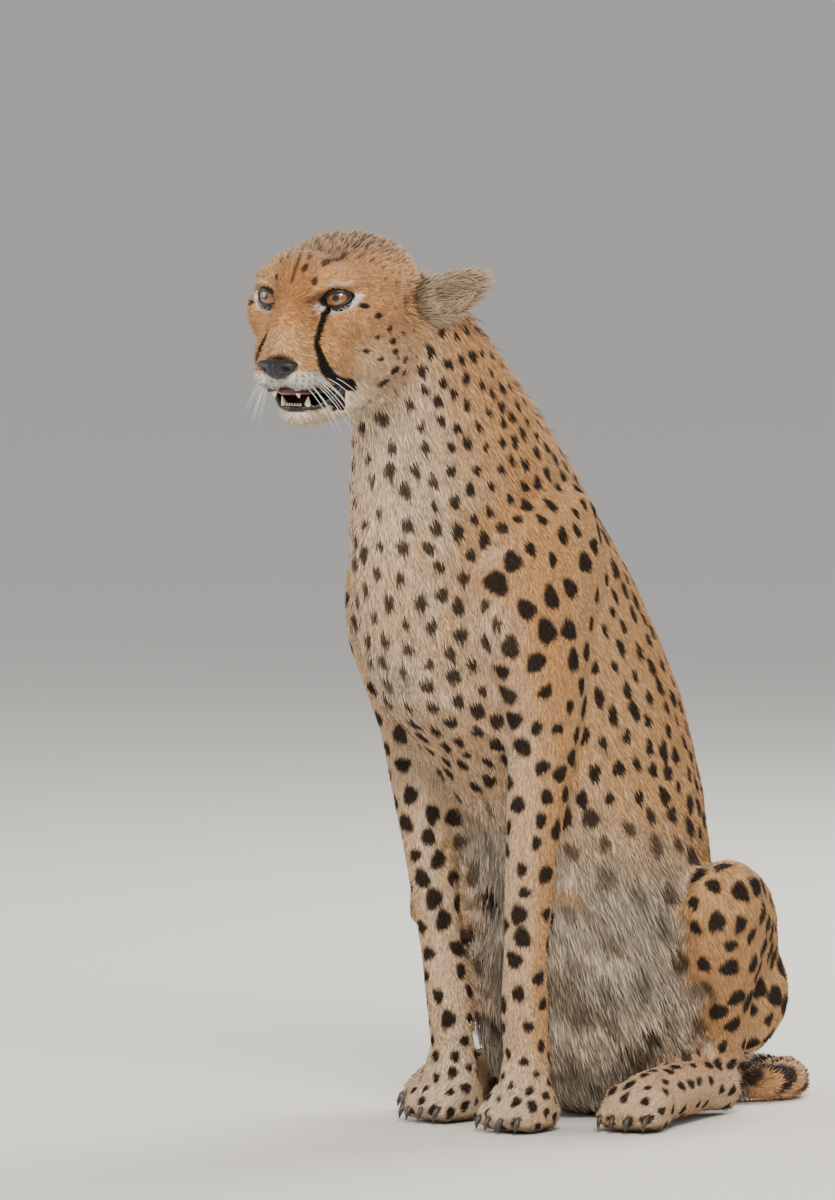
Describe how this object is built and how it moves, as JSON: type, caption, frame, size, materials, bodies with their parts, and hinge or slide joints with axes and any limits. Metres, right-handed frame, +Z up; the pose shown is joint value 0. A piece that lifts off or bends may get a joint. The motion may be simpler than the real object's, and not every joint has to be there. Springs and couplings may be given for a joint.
{
  "type": "sitting cheetah",
  "caption": "Life-size still model of an adult cheetah that sits upright on its haunches, head turned a little to its left with the mouth open, tail curled round behind on the floor.",
  "frame": {"origin": "on the floor, under the middle of the whole box", "axes": "+Z up; the body faces -Y, the animal's left side is +X"},
  "size_m": [0.4462, 0.793, 0.9036],
  "materials": {
    "coat_body": "short pinkish-buff fur with small black spots, paler and longer below",
    "coat_head": "short tawny fur with a black line from each eye to the mouth",
    "coat_jaw": "short cream fur",
    "eye": "glossy amber eye",
    "nose_leather": "bare black skin, slightly moist"
  },
  "bodies": {
    "root": {"head": "coat_head", "jaw": "coat_jaw", "ear_left": "coat_head", "ear_right": "coat_head", "eye_left": "eye", "eye_right": "eye", "nose": "nose_leather", "neck": "coat_body", "trunk": "coat_body", "foreleg_left": "coat_body", "foreleg_right": "coat_body", "hindleg_left": "coat_body", "hindleg_right": "coat_body", "tail_1": "coat_body", "tail_2": "coat_body", "tail_3": "coat_body"}
  },
  "joints": []
}
